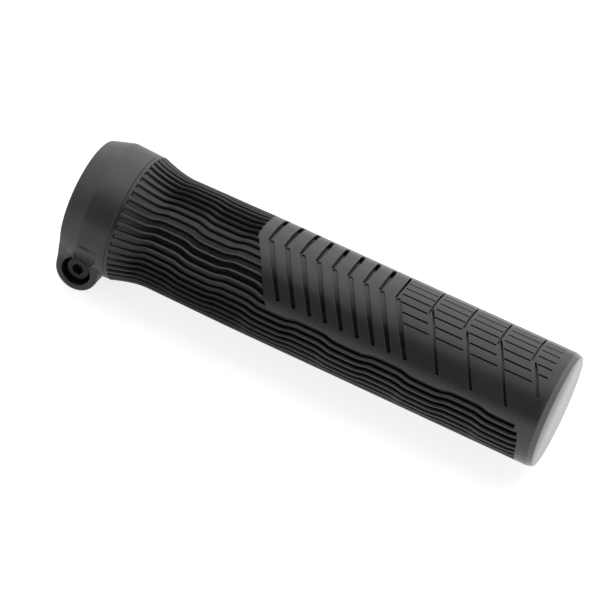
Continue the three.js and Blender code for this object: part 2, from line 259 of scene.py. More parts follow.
# Studio. The floor's size and the softbox are in metres, the floor's gap and the dark card in
# millimetres.
WHITE = (1, 1, 1, 1)
WORLD_STRENGTH = 0.37
FLOOR_SIZE = 6.0
FLOOR_GAP = 0.02
FLOOR_COLOUR = (0.7, 0.7, 0.7, 1)
FLOOR_GLOW = 0.8
SHEEN_INBOARD = 0.4
SHEEN_OUTBOARD = 1.0
TOP_LIGHT = 0.72
TOP_LIGHT_ANGLE = -25
TOP_LIGHT_DISTANCE = 0.45
TOP_LIGHT_WIDTH = 0.75
TOP_LIGHT_LENGTH = 0.8
TOP_LIGHT_SHIFT = -0.1
CARD_DISTANCE = 600
CARD_WIDTH = 600
CARD_LENGTH = 1000
CARD_SHIFT = -400
CARD_TURN = 13
CARD_COLOUR = (0.02, 0.02, 0.02, 1)

# Camera, from the perspective of the photographed grip
IMAGE_SIZE = 600
FOCAL_PIXELS = 3116.9
CAMERA_DISTANCE = 800.0
GRIP_SLOPE = 24.72
GRIP_TOWARDS = 11.92
FACING_ANGLE = 51
MIDDLE_RIGHT = 5.01
MIDDLE_UP = -0.57
SENSOR_WIDTH = 36.0
CLIP_START = 0.01
CLIP_END = 20


def polar(station, angle, radius):
    """The point at a station, an angle and a radius, in millimetres."""
    turn = math.radians(angle)
    return Vector((station - GRIP_LENGTH, -radius * math.sin(turn), radius * math.cos(turn)))


# Materials

def new_material(name):
    """A node material with one plain shader, and that shader."""
    material = bpy.data.materials.new(name)
    material.use_nodes = True
    nodes = material.node_tree.nodes
    nodes.clear()
    output = nodes.new("ShaderNodeOutputMaterial")
    shader = nodes.new("ShaderNodeBsdfPrincipled")
    material.node_tree.links.new(shader.outputs["BSDF"], output.inputs["Surface"])
    return material, shader


def add_noise(tree, scale, detail, place):
    """A noise texture in the object's own space."""
    noise = tree.nodes.new("ShaderNodeTexNoise")
    noise.inputs["Scale"].default_value = scale
    noise.inputs["Detail"].default_value = detail
    tree.links.new(place.outputs["Object"], noise.inputs["Vector"])
    return noise


def add_range(tree, source, low, high):
    """Maps a noise value onto a range."""
    spread = tree.nodes.new("ShaderNodeMapRange")
    spread.inputs["From Min"].default_value = NOISE_LOW
    spread.inputs["From Max"].default_value = NOISE_HIGH
    spread.inputs["To Min"].default_value = low
    spread.inputs["To Max"].default_value = high
    tree.links.new(source, spread.inputs["Value"])
    return spread


def surface(name, dark, light, roughness, grain, bump, metallic=0.0, specular=0.5):
    """A finish whose colour, roughness and fine relief vary with two scales of noise."""
    material, shader = new_material(name)
    tree = material.node_tree
    place = tree.nodes.new("ShaderNodeTexCoord")
    broad = add_noise(tree, BROAD_SCALE, BROAD_DETAIL, place)
    fine = add_noise(tree, grain, FINE_DETAIL, place)
    ramp = tree.nodes.new("ShaderNodeValToRGB")
    ramp.color_ramp.elements[0].position = RAMP_START
    ramp.color_ramp.elements[1].position = RAMP_END
    ramp.color_ramp.elements[0].color = (*dark, 1)
    ramp.color_ramp.elements[1].color = (*light, 1)
    tree.links.new(broad.outputs["Fac"], ramp.inputs["Fac"])
    tree.links.new(ramp.outputs["Color"], shader.inputs["Base Color"])
    rough = add_range(tree, fine.outputs["Fac"], roughness[0], roughness[1])
    tree.links.new(rough.outputs["Result"], shader.inputs["Roughness"])
    relief = tree.nodes.new("ShaderNodeBump")
    relief.inputs["Strength"].default_value = bump
    relief.inputs["Distance"].default_value = RELIEF_DISTANCE * MM
    tree.links.new(fine.outputs["Fac"], relief.inputs["Height"])
    tree.links.new(relief.outputs["Normal"], shader.inputs["Normal"])
    shader.inputs["Metallic"].default_value = metallic
    shader.inputs["Specular IOR Level"].default_value = specular
    return material


def math_node(tree, operation, first, second, clamp=False):
    """One step of arithmetic on sockets or numbers."""
    node = tree.nodes.new("ShaderNodeMath")
    node.operation = operation
    node.use_clamp = clamp
    for socket, value in zip(node.inputs, (first, second)):
        if isinstance(value, (int, float)):
            socket.default_value = value
        else:
            tree.links.new(value, socket)
    return node.outputs[0]


def paint_groove_shade(material):
    """Paints shade into the grooves: the rubber turns darker where it lies well below the sleeve's outer
    surface.
    """
    tree = material.node_tree
    place = tree.nodes.new("ShaderNodeTexCoord")
    parts = tree.nodes.new("ShaderNodeSeparateXYZ")
    tree.links.new(place.outputs["Object"], parts.inputs[0])
    station = math_node(tree, "MULTIPLY_ADD", parts.outputs["X"], 1 / MM)
    station.node.inputs[2].default_value = GRIP_LENGTH
    across = tree.nodes.new("ShaderNodeCombineXYZ")
    tree.links.new(parts.outputs["Y"], across.inputs["Y"])
    tree.links.new(parts.outputs["Z"], across.inputs["Z"])
    length = tree.nodes.new("ShaderNodeVectorMath")
    length.operation = "LENGTH"
    tree.links.new(across.outputs[0], length.inputs[0])
    radius = math_node(tree, "MULTIPLY", length.outputs["Value"], 1 / MM)
    to_flare_end = math_node(tree, "SUBTRACT", FLARE_END, station)
    fall = math_node(tree, "DIVIDE", to_flare_end, FLARE_LENGTH - RIM_WIDTH, clamp=True)
    flare = math_node(tree, "MULTIPLY", math_node(tree, "POWER", fall, FLARE_POWER), FLARE_RISE)
    from_flare_end = math_node(tree, "SUBTRACT", station, FLARE_END)
    rise = math_node(tree, "DIVIDE", from_flare_end, BODY_START - FLARE_END, clamp=True)
    body = math_node(tree, "MULTIPLY", rise, BODY_RISE)
    outer = math_node(tree, "ADD", math_node(tree, "ADD", flare, body), WAIST_RADIUS)
    depth = math_node(tree, "SUBTRACT", outer, radius)
    groove_shade = tree.nodes.new("ShaderNodeMapRange")
    groove_shade.interpolation_type = "SMOOTHSTEP"
    groove_shade.inputs["From Min"].default_value = GROOVE_SHADE_START
    groove_shade.inputs["From Max"].default_value = GROOVE_SHADE_END
    tree.links.new(depth, groove_shade.inputs["Value"])
    shader = next(node for node in tree.nodes if node.type == "BSDF_PRINCIPLED")
    colour = shader.inputs["Base Color"].links[0].from_socket
    mix = tree.nodes.new("ShaderNodeMix")
    mix.data_type = "RGBA"
    tree.links.new(groove_shade.outputs["Result"], mix.inputs["Factor"])
    tree.links.new(colour, mix.inputs["A"])
    mix.inputs["B"].default_value = GROOVE_SHADE_COLOUR
    tree.links.new(mix.outputs["Result"], shader.inputs["Base Color"])


rubber = surface("rubber", dark=(0.035, 0.035, 0.036), light=(0.043, 0.043, 0.044),
                 roughness=(0.27, 0.35), grain=4000, bump=0.25)
# Painted shade in the sleeve's grooves
paint_groove_shade(rubber)
# Lighter copies of the same rubber: painted light for the end face, a painted highlight for the bevel
rubber_end_painted_light = surface("rubber_end_painted_light", dark=(0.055, 0.055, 0.056), light=(0.062, 0.062, 0.063),
                     roughness=(0.20, 0.26), grain=2500, bump=0.08, specular=0.38)
rubber_bevel_painted_highlight = surface("rubber_bevel_painted_highlight", dark=(0.14, 0.14, 0.14), light=(0.16, 0.16, 0.16),
                       roughness=(0.26, 0.34), grain=2500, bump=0.1)
core_plastic = surface("core_plastic", dark=(0.009, 0.009, 0.010), light=(0.013, 0.013, 0.014),
                       roughness=(0.42, 0.52), grain=2500, bump=0.2)
collar_metal = surface("collar_metal", dark=(0.052, 0.052, 0.053), light=(0.060, 0.060, 0.061),
                       roughness=(0.30, 0.38), grain=5000, bump=0.2)
bore_shade = surface("bore_shade", dark=(0.006, 0.006, 0.006), light=(0.009, 0.009, 0.009),
                     roughness=(0.55, 0.65), grain=5000, bump=0.1, specular=0.2)
screw_steel = surface("screw_steel", dark=(0.020, 0.020, 0.021), light=(0.030, 0.030, 0.031),
                      roughness=(0.30, 0.42), grain=5000, bump=0.2, metallic=0.3)


# Mesh helpers

def make_object(name, points, faces, materials):
    """A mesh object from points in millimetres."""
    mesh = bpy.data.meshes.new(name)
    mesh.from_pydata([tuple(Vector(point) * MM) for point in points], [], faces)
    mesh.validate()
    piece = bpy.data.objects.new(name, mesh)
    bpy.context.scene.collection.objects.link(piece)
    for material in materials:
        mesh.materials.append(material)
    outward(mesh)
    return piece


def outward(mesh):
    """Turns all faces outward."""
    work = bmesh.new()
    work.from_mesh(mesh)
    bmesh.ops.recalc_face_normals(work, faces=work.faces)
    work.to_mesh(mesh)
    work.free()


def lofted(sections):
    """Points and faces of a solid skinned over sections with the same number of corners."""
    size = len(sections[0])
    points = [corner for section in sections for corner in section]
    faces = []
    for row in range(len(sections) - 1):
        for i in range(size):
            a = row * size + i
            b = row * size + (i + 1) % size
            faces.append((a, b, b + size, a + size))
    last = (len(sections) - 1) * size
    faces.append(tuple(range(size))[::-1])
    faces.append(tuple(range(last, last + size)))
    return points, faces


def merged(parts):
    """One list of points and faces from several that don't touch."""
    points, faces = [], []
    for part_points, part_faces in parts:
        start = len(points)
        points.extend(part_points)
        faces.extend(tuple(start + i for i in face) for face in part_faces)
    return points, faces


def revolved(profile, segments):
    """A solid of revolution about the bar axis. A profile starts and ends on the axis, or closes."""
    closed = profile[0][1] > 0
    rings = profile if closed else profile[1:-1]
    points, faces = [], []
    for station, radius in rings:
        points.extend(polar(station, 360 * i / segments, radius) for i in range(segments))
    count = len(rings)
    for row in range(count if closed else count - 1):
        below = row * segments
        above = (row + 1) % count * segments
        for i in range(segments):
            k = (i + 1) % segments
            faces.append((below + i, below + k, above + k, above + i))
    if not closed:
        for (station, radius), row in ((profile[0], 0), (profile[-1], count - 1)):
            centre = len(points)
            points.append(polar(station, 0, 0))
            faces.extend((row * segments + i, row * segments + (i + 1) % segments, centre)
                         for i in range(segments))
    return points, faces


def screw_ring(radius, y, segments):
    """The corners of a circle about the screw's axis at a place along Y."""
    turns = [2 * math.pi * i / segments for i in range(segments)]
    return [Vector((SCREW_STATION - GRIP_LENGTH + radius * math.cos(turn), y,
                    SCREW_HEIGHT + radius * math.sin(turn))) for turn in turns]


def screw_cylinder(radius, start, end, segments):
    """A cylinder about the screw's axis between two places along Y."""
    return lofted([screw_ring(radius, y, segments) for y in (start, end)])


def block(low, high, angle=0):
    """A box between two corners, turned about the bar axis."""
    turned = Matrix.Rotation(math.radians(angle), 3, "X")
    section = [(low[1], low[2]), (high[1], low[2]), (high[1], high[2]), (low[1], high[2])]
    return lofted([[turned @ Vector((x, y, z)) for y, z in section] for x in (low[0], high[0])])


def prism(section, start, end):
    """A solid with one (y, z) section between two stations."""
    return lofted([[Vector((station - GRIP_LENGTH, y, z)) for y, z in section]
                   for station in (start, end)])


def hull(corners):
    """The points and faces of the smallest convex solid round some corners."""
    work = bmesh.new()
    for corner in corners:
        work.verts.new(corner)
    bmesh.ops.convex_hull(work, input=work.verts)
    loose = [vert for vert in work.verts if not vert.link_faces]
    bmesh.ops.delete(work, geom=loose, context="VERTS")
    work.verts.index_update()
    points = [vert.co.copy() for vert in work.verts]
    faces = [tuple(vert.index for vert in face.verts) for face in work.faces]
    work.free()
    return points, faces


def cut(piece, tool_shape, operation="DIFFERENCE"):
    """Cuts or joins one solid with another and removes the other."""
    tool = make_object(piece.name + "_tool", *tool_shape, [])
    change = piece.modifiers.new("cut", "BOOLEAN")
    change.operation = operation
    change.solver = "MANIFOLD"
    change.object = tool
    bake(piece)
    tool_mesh = tool.data
    bpy.data.objects.remove(tool)
    bpy.data.meshes.remove(tool_mesh)


def bake(piece):
    """Puts the result of an object's modifiers into its mesh."""
    graph = bpy.context.evaluated_depsgraph_get()
    graph.update()
    old = piece.data
    new = bpy.data.meshes.new_from_object(piece.evaluated_get(graph))
    piece.modifiers.clear()
    piece.data = new
    new.name = old.name
    bpy.data.meshes.remove(old)


def finish_piece(piece, node, sharp_angle):
    """Shades a piece, parents it to the root body and hides the CAD node that it stands for."""
    piece.data.shade_smooth()
    piece.data.set_sharp_from_angle(angle=math.radians(sharp_angle))
    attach(piece, "root")
    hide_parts(node)


# Rubber sleeve

def outer_radius(station):
    """The sleeve's radius before any groove is cut."""
    fall = np.clip((FLARE_END - station) / (FLARE_LENGTH - RIM_WIDTH), 0, 1)
    rise = np.clip((station - FLARE_END) / (BODY_START - FLARE_END), 0, 1)
    return WAIST_RADIUS + FLARE_RISE * fall ** FLARE_POWER + BODY_RISE * rise


def wave(station, angle):
    """How far a rib lies to the side, in millimetres, at a station."""
    shift = -WAVE_SKEW * np.sin(np.radians(angle - WAVE_SKEW_ANGLE))
    phase = 2 * np.pi * (station - WAVE_CREST - shift) / WAVE_PITCH
    return -WAVE_SWING * np.tanh(WAVE_SHARPNESS * np.cos(phase)) / math.tanh(WAVE_SHARPNESS)


def pad_edge_shift(angle):
    """How far outboard the pad's inboard edge lies at an angle, past its straight stretch."""
    last = (PAD_LAST_RIB + 0.5) * RIB_PITCH
    reach = LEG_SLOPE * (last - VERTEX_ANGLE)
    rising = LEG_SLOPE * np.clip(angle - VERTEX_ANGLE, 0, last - VERTEX_ANGLE)
    falling = reach * np.clip((angle - last) / (PAD_EDGE_RETURN_ANGLE - last), 0, 1)
    return rising - falling


def groove_end_shift(angle):
    """How much sooner the grooves beside the pad's corners end."""
    high = (PAD_LAST_RIB + 1) * RIB_PITCH
    low = (PAD_FIRST_RIB - 1) * RIB_PITCH
    away = np.maximum(np.maximum(angle - high, low - angle), 0) / RIB_PITCH
    return -PAD_CORNER * PAD_CORNER_FADE ** away


def tent(values, low, peak, high):
    """1 at the peak, falling evenly to 0 at low and high."""
    return np.clip(np.minimum((values - low) / (peak - low), (high - values) / (high - peak)), 0, 1)


def sleeve_rows():
    """The stations of the sleeve's rings before they are bent to the pad's edge."""
    edge = EDGE_WIDTH / 2
    marks = [GROOVE_START - RIM_EDGE, GROOVE_START + EDGE_WIDTH, BODY_START - edge, BODY_START + edge,
             GROOVE_END - edge, GROOVE_END + edge]
    last = GRIP_LENGTH - END_BEVEL_LENGTH - END_ROW_GAP
    even = np.arange(GROOVE_START + 2 * EDGE_WIDTH, last, ROW_SPACING)
    apart = [row for row in even if min(abs(row - mark) for mark in marks) > ROW_NEAREST]
    return np.array(sorted(marks + apart))


def sleeve_body():
    """The sleeve with its wavy ribs and smooth pad, closed at both ends."""
    rows = sleeve_rows()
    columns = []
    for rib in range(RIB_COUNT):
        middle = (rib - RIB_COUNT // 2) * RIB_PITCH
        section = [(-share, depth) for share, depth in RIB_SECTION[:0:-1]] + list(RIB_SECTION)
        columns.extend((middle, share, depth) for share, depth in section)
        columns.append((middle, 1.0, 0.0))
    middles, shares, depths = np.array(columns).T
    pad_low = (PAD_FIRST_RIB - 0.5) * RIB_PITCH
    pad_high = (PAD_LAST_RIB + 0.5) * RIB_PITCH
    ends = np.where((middles > pad_low) & (middles < pad_high), BODY_START, GROOVE_END)
    grid_row, grid_end = np.meshgrid(rows, ends, indexing="ij")
    open_groove = (grid_row > GROOVE_START) & (grid_row < grid_end)
    angles = middles + shares * RIB_PITCH / 2
    pad_low_row, pad_high_row = PAD_EDGE_BEND
    end_low_row, end_high_row = GROOVE_END_BEND
    station = (grid_row
               + tent(grid_row, pad_low_row, BODY_START, pad_high_row) * pad_edge_shift(angles)
               + tent(grid_row, end_low_row, GROOVE_END, end_high_row) * groove_end_shift(middles))
    near_collar = np.clip((FLARE_END - station) / (FLARE_END - GROOVE_START), 0, 1)
    depth = GROOVE_DEPTH * (1 - (1 - FLARE_GROOVE_DEPTH) * near_collar)
    radius = outer_radius(station) - depth * depths * open_groove
    fade_start, fade_end = INBOARD_GROOVE_FADE
    inboard = np.clip((fade_end - station) / (fade_end - fade_start), 0, 1)
    spread = 1 + (INBOARD_GROOVE_WIDTH - 1) * inboard - (1 - FLARE_GROOVE_WIDTH) * near_collar
    spread = np.where(abs(shares) < 1, spread, 1)
    side = wave(station, middles) / WAIST_RADIUS
    turn = np.radians(middles + shares * spread * RIB_PITCH / 2) + side
    points = []
    for ring_station, ring_radius in sleeve_mouth():
        points.append(np.stack(ring(ring_station, ring_radius, turn[0]), 1))
    for i in range(len(rows)):
        points.append(np.stack(ring(station[i], radius[i], turn[i]), 1))
    for ring_station, ring_radius in sleeve_end():
        points.append(np.stack(ring(ring_station, ring_radius, turn[-1]), 1))
    size = len(columns)
    count = len(points)
    faces = []
    for row in range(count - 1):
        below = row * size
        for i in range(size):
            k = (i + 1) % size
            faces.append((below + i, below + k, below + size + k, below + size + i))
    all_points = [Vector(point) for point in np.concatenate(points)]
    inner = len(all_points)
    all_points.append(polar(GRIP_LENGTH - END_WALL, 0, 0))
    outer = len(all_points)
    all_points.append(polar(GRIP_LENGTH, 0, 0))
    faces.extend((i, (i + 1) % size, inner) for i in range(size))
    last = (count - 1) * size
    faces.extend((last + i, last + (i + 1) % size, outer) for i in range(size))
    return all_points, faces


def ring(station, radius, turn):
    """X, Y and Z of a ring's points."""
    return station - GRIP_LENGTH + 0 * turn, -radius * np.sin(turn), radius * np.cos(turn)


def sleeve_mouth():
    """The sleeve's inner wall and its rim beside the collar, from the blind end outwards."""
    start = COLLAR_WIDTH + RIM_GAP
    rounding = [(start + RIM_ROUND * (1 - math.cos(turn)),
                 FLARE_RADIUS - RIM_ROUND * (1 - math.sin(turn)))
                for turn in (0, math.pi / 4, math.pi / 2)]
    return [(GRIP_LENGTH - END_WALL, SEAT_RADIUS), (start, SEAT_RADIUS), *rounding]


def sleeve_end():
    """The narrow bevel beside the closed end, and its rounded edge."""
    corner = BODY_RADIUS - END_BEVEL_DROP
    bend = END_ROUND * END_BEVEL_DROP / END_BEVEL_LENGTH
    start = GRIP_LENGTH - END_BEVEL_LENGTH
    return [
        (start - END_ROUND / 2, BODY_RADIUS),
        (start + END_ROUND / 2, BODY_RADIUS - bend),
        (GRIP_LENGTH - END_ROUND, corner),
        (GRIP_LENGTH - ROUND_MIDDLE * END_ROUND, corner - ROUND_MIDDLE * END_ROUND),
        (GRIP_LENGTH, corner - END_ROUND),
    ]


# Grooves of the pad

def channel(path, width, depth, rounded=False):
    """The cutter of a channel along (station, angle) points. Width and depth are functions of the
    share of the way along, and rounded ends narrow to half circles."""
    first, last = path[0], path[-1]
    along = Vector((last[0] - first[0], math.radians(last[1] - first[1]) * BODY_RADIUS))
    length = along.length
    along.normalize()
    side = Vector((-along.y, along.x))
    sections = []
    for i, (station, angle) in enumerate(path):
        share = i / (len(path) - 1)
        half = width(share) / 2
        from_end = min(share, 1 - share) * length
        if rounded and from_end < half:
            half = max(CUT_TIP_SHARE * half, math.sqrt(max(0, half ** 2 - (half - from_end) ** 2)))
        floor = BODY_RADIUS - depth(share)
        shoulder = BODY_RADIUS - CUT_CHAMFER
        top = BODY_RADIUS + OVERCUT
        corners = [(-half, floor), (half, floor), (half, shoulder), (half + CUT_CHAMFER + OVERCUT, top),
                   (-half - CUT_CHAMFER - OVERCUT, top), (-half, shoulder)]
        sections.append([polar(station + reach * side.x,
                               angle + math.degrees(reach * side.y / BODY_RADIUS), radius)
                         for reach, radius in corners])
    return lofted(sections)


def line(start, end, spacing=CUT_POINT_SPACING):
    """Points from one (station, angle) to another, about a spacing apart."""
    along = end[0] - start[0]
    turn = end[1] - start[1]
    length = math.hypot(along, math.radians(turn) * BODY_RADIUS)
    steps = max(2, round(length / spacing))
    return [(start[0] + along * i / steps, start[1] + turn * i / steps) for i in range(steps + 1)]


def bowed(points, bow):
    """The same points, bent outboard by bow at the middle."""
    last = len(points) - 1
    return [(station + bow * math.sin(math.pi * i / last), angle)
            for i, (station, angle) in enumerate(points)]


def wide_end():
    """The station of the last wide chevron's vertex."""
    return WIDE_START + WIDE_PITCH * (WIDE_COUNT - 1)


def wide_crests():
    """The cutters of the wide chevrons' far halves, across the top of the grip."""
    cutters = []
    for i in range(WIDE_COUNT):
        vertex = WIDE_START + WIDE_PITCH * i
        end = LONG_CREST_END_ANGLE if i < LONG_CREST_COUNT else CREST_END_ANGLE
        width = LAST_CREST_WIDTH if i == WIDE_COUNT - 1 else CREST_WIDTH
        path = bowed(line((vertex, VERTEX_ANGLE), (vertex, end)), CREST_BOW)
        cutters.append(channel(path, lambda share, width=width: width * crest_taper(share),
                               lambda share: CREST_DEPTH, rounded=True))
    return cutters


def crest_taper(share):
    """A crest's width as a share of its full width, which it reaches a short way from its vertex."""
    return CREST_TIP_SHARE + (1 - CREST_TIP_SHARE) * min(1, CREST_TAPER * share)


def wide_legs():
    """The cutters of the wide chevrons' near halves, which get deeper away from the vertex."""
    cutters = []
    for i in range(WIDE_COUNT):
        start = WIDE_START + WIDE_PITCH * i + LEG_STEP
        end = start + LEG_SLOPE * (LEG_END_ANGLE - VERTEX_ANGLE)
        cutters.append(channel(line((start, VERTEX_ANGLE - LEG_OVERLAP_ANGLE), (end, LEG_END_ANGLE)),
                               lambda share: LEG_WIDTH,
                               lambda share: LEG_START_DEPTH + (LEG_DEPTH - LEG_START_DEPTH) * share,
                               rounded=True))
    return cutters


def thin_lines():
    """The thin chevrons' vertices and the ends of their legs, which start early and late in turn."""
    lines = []
    vertex = wide_end() + THIN_PITCH
    limit = GRIP_LENGTH - THIN_LEG_MARGIN
    while vertex < GROOVE_END - OVERCUT:
        station = vertex + THIN_LEG_STEP
        angle = VERTEX_ANGLE
        if len(lines) % 2 == 1:
            station += THIN_LEG_LATE
        else:
            angle -= THIN_LEG_EARLY
        last_angle = min(LEG_END_ANGLE, angle + (limit - station) / THIN_LEG_SLOPE)
        last_station = station + THIN_LEG_SLOPE * (last_angle - angle)
        lines.append((vertex, (station, angle), (last_station, last_angle)))
        vertex += THIN_PITCH
    return lines


def thin_crests():
    """The cutters of the thin chevrons' far halves."""
    return [channel(line((vertex, VERTEX_ANGLE), (vertex, CREST_END_ANGLE)),
                    lambda share: SIPE_WIDTH, lambda share: SIPE_DEPTH, rounded=True)
            for vertex, start, end in thin_lines()]


def thin_legs():
    """The cutters of the thin chevrons' near halves, which widen away from the vertex."""
    return [channel(line(start, end),
                    lambda share: SIPE_WIDTH + (THIN_LEG_WIDTH - SIPE_WIDTH) * share,
                    lambda share: LEG_DEPTH, rounded=True)
            for vertex, start, end in thin_lines()]


def crossing(vertex, slope, angle):
    """The station where a chevron crosses an angle."""
    return vertex + slope * max(0, angle - VERTEX_ANGLE)


def lengthwise_sipes():
    """The cutters of the thin lines along the grip, between the last wide chevron and the end."""
    cutters = []
    vertices = [vertex for vertex, start, end in thin_lines()]
    for i in range(LINE_COUNT):
        angle = LINE_FIRST_ANGLE - LINE_PITCH * i
        starts = [crossing(wide_end(), LEG_SLOPE, angle)]
        starts += [crossing(vertex, THIN_LEG_SLOPE, angle) for vertex in vertices]
        ends = starts[1:] + [GRIP_LENGTH - LINE_END_MARGIN]
        for start, end in zip(starts, ends):
            first = start + LINE_MARGIN + (LEG_STEP if angle > VERTEX_ANGLE else 0)
            last = end - SIPE_WIDTH
            if last - first > LINE_SHORTEST:
                cutters.append(channel(line((first, angle), (last, angle), LINE_POINT_SPACING),
                                       lambda share: LINE_WIDTH, lambda share: LINE_DEPTH))
    return cutters


def make_sleeve():
    """The rubber sleeve, with the pad's grooves cut, and painted light on its end: lighter copies of the
    rubber on the end face and the bevel.
    """
    sleeve = make_object("rubber_sleeve", *sleeve_body(), [rubber, rubber_end_painted_light, rubber_bevel_painted_highlight])
    for cutters in (wide_crests(), wide_legs(), thin_crests(), thin_legs(), lengthwise_sipes()):
        cut(sleeve, merged(cutters))
    # Painted light: the end face and the bevel get the lighter copies of the rubber
    for face in sleeve.data.polygons:
        if face.center.x > -END_BEVEL_LENGTH * MM and face.normal.x > BEVEL_NORMAL:
            face.material_index = 1 if face.normal.x > END_NORMAL else 2
    finish_piece(sleeve, "grip_sleeve", sharp_angle=35)


# Core tube

def key_block(angle, start, end, clearance):
    """A key of the core between two stations, or its pocket where a clearance is given."""
    low = (start - GRIP_LENGTH, -KEY_WIDTH / 2 - clearance, CORE_RADIUS - KEY_ROOT)
    high = (end - GRIP_LENGTH, KEY_WIDTH / 2 + clearance, CORE_RADIUS + KEY_HEIGHT + clearance)
    return block(low, high, angle)


def key_angles():
    """The angles of the keys round the bar axis."""
    return [360 * i / KEY_COUNT for i in range(KEY_COUNT)]


def make_core():
    """The core tube with its keys."""
    tube = revolved([
        (CORE_START, BORE_RADIUS + CORE_EDGE), (CORE_START, CORE_RADIUS - CORE_EDGE),
        (CORE_START + CORE_EDGE, CORE_RADIUS), (CORE_END - CORE_EDGE, CORE_RADIUS),
        (CORE_END, CORE_RADIUS - CORE_EDGE), (CORE_END, BORE_RADIUS + CORE_EDGE),
        (CORE_END - CORE_EDGE, BORE_RADIUS), (CORE_START + CORE_EDGE, BORE_RADIUS),
    ], CORE_SEGMENTS)
    core = make_object("core_tube", *tube, [core_plastic])
    for angle in key_angles():
        cut(core, key_block(angle, CORE_START, CORE_START + KEY_LENGTH, 0), "UNION")
    finish_piece(core, "core_sleeve", sharp_angle=30)


# Clamp collar

def lug_section(y, inset):
    """The lug's section across the screw: round below, with straight cheeks into the ring."""
    radius = LUG_RADIUS - inset
    corners = [(inset, -LUG_SHOULDER), (SCREW_STATION - radius, -LUG_CHEEK)]
    for i in range(LUG_STEPS + 1):
        turn = math.pi * (1 - i / LUG_STEPS)
        corners.append((SCREW_STATION + radius * math.cos(turn), SCREW_HEIGHT - radius * math.sin(turn)))
    corners.append((SCREW_STATION + radius, -LUG_SHOULDER))
    return [Vector((station - GRIP_LENGTH, y, z)) for station, z in corners]


def lug():
    """The lug that holds the screw, rounded at both ends."""
    sections = []
    for i in range(LUG_HEAD_STEPS + 1):
        turn = math.pi / 2 * i / LUG_HEAD_STEPS
        sections.append(lug_section(-LUG_HEAD_REACH + LUG_HEAD_EDGE * (1 - math.sin(turn)),
                                    LUG_HEAD_EDGE * (1 - math.cos(turn))))
    sections.reverse()
    for i in range(LUG_FAR_STEPS + 1):
        turn = math.pi / 2 * (1 - i / LUG_FAR_STEPS)
        sections.append(lug_section(LUG_FAR_REACH - LUG_FAR_EDGE * (1 - math.cos(turn)),
                                    LUG_FAR_EDGE * (1 - math.sin(turn))))
    return lofted(sections)


def driver_flat():
    """The cutter of the slanting flat between the ridge and the screw's mouth."""
    low_y, low_z = DRIVER_FLAT_LOW
    high_y, high_z = DRIVER_FLAT_HIGH
    slope = (high_y - low_y) / (high_z - low_z)
    corners = []
    for station, z in DRIVER_FLAT:
        corners.append(Vector((station - GRIP_LENGTH, low_y + slope * (z - low_z), z)))
        corners.append(Vector((station - GRIP_LENGTH, -FLARE_RADIUS - DRIVER_FLAT_REACH, z)))
    return hull(corners)


def make_collar():
    """The split collar: ring and lug, cut by the bore, the key pockets, the slit and the screw's hole."""
    body = revolved([
        (0, 0), (0, FACE_RADIUS), (CREST_STATION, FLARE_RADIUS + CREST_RISE),
        (COLLAR_WIDTH, FLARE_RADIUS), (COLLAR_WIDTH, 0),
    ], COLLAR_SEGMENTS)
    collar = make_object("clamp_ring", *body, [collar_metal])
    cut(collar, lug(), "UNION")
    cut(collar, hull([Vector((station - GRIP_LENGTH, y, z)) for station, y, z in LUG_WEB]), "UNION")
    cut(collar, driver_flat())
    cut(collar, prism(RIDGE_GROOVE, RIDGE_GROOVE_START, RIDGE_GROOVE_END))
    recess = CORE_START - SEAT_GAP
    past = COLLAR_WIDTH + OVERCUT
    cut(collar, revolved([
        (-OVERCUT, 0), (-OVERCUT, BORE_RADIUS), (recess, BORE_RADIUS), (recess, SEAT_RADIUS),
        (past, SEAT_RADIUS), (past, 0),
    ], COLLAR_SEGMENTS))
    cut(collar, merged([key_block(angle, recess, past, SEAT_GAP) for angle in key_angles()]))
    depth = -SCREW_HEIGHT + LUG_RADIUS + OVERCUT
    cut(collar, block((-GRIP_LENGTH - OVERCUT, -SLIT_WIDTH / 2, -depth),
                      (COLLAR_WIDTH - GRIP_LENGTH + OVERCUT, SLIT_WIDTH / 2, 0)))
    mouth_radius = HEAD_RADIUS + HEAD_CLEARANCE
    floor = screw_low.y + HEAD_HEIGHT + SEAT_GAP
    cut(collar, screw_cylinder(mouth_radius, -LUG_HEAD_REACH - FLARE_RADIUS, floor, SCREW_SEGMENTS))
    cut(collar, screw_cylinder(SHANK_RADIUS + SEAT_GAP, floor - SEAT_GAP, screw_high.y + SEAT_GAP,
                               SHANK_HOLE_SEGMENTS))
    soften(collar)
    collar.data.materials.append(collar_metal)
    collar.data.materials.append(bore_shade)
    for face in collar.data.polygons:
        x, y, z = face.center / MM
        from_axis = math.hypot(x + GRIP_LENGTH - SCREW_STATION, z - SCREW_HEIGHT)
        if from_axis < mouth_radius + MOUTH_MARGIN and MOUTH_SHADE_START < y < 0:
            face.material_index = 1
    finish_piece(collar, "clamp_collar", sharp_angle=60)


def soften(piece):
    """Rounds every edge a little by remeshing finely and smoothing. It leaves no material."""
    remesh = piece.modifiers.new("remesh", "REMESH")
    remesh.mode = "VOXEL"
    remesh.voxel_size = COLLAR_VOXEL * MM
    smooth = piece.modifiers.new("smooth", "SMOOTH")
    smooth.factor = SMOOTHING_FACTOR
    smooth.iterations = COLLAR_SMOOTHING
    bake(piece)
    piece.data.materials.clear()


# Clamp screw

def turned_about_screw(profile, segments):
    """A solid of revolution about the screw's axis from (radius, y) points that start and end on it."""
    rings = profile[1:-1]
    points, faces = [], []
    for radius, y in rings:
        points.extend(screw_ring(radius, y, segments))
    for row in range(len(rings) - 1):
        for i in range(segments):
            k = (i + 1) % segments
            faces.append((row * segments + i, row * segments + k,
                          (row + 1) * segments + k, (row + 1) * segments + i))
    for y, row in ((profile[0][1], 0), (profile[-1][1], len(rings) - 1)):
        centre = len(points)
        points.append(Vector((SCREW_STATION - GRIP_LENGTH, y, SCREW_HEIGHT)))
        faces.extend((row * segments + i, row * segments + (i + 1) % segments, centre)
                     for i in range(segments))
    return points, faces


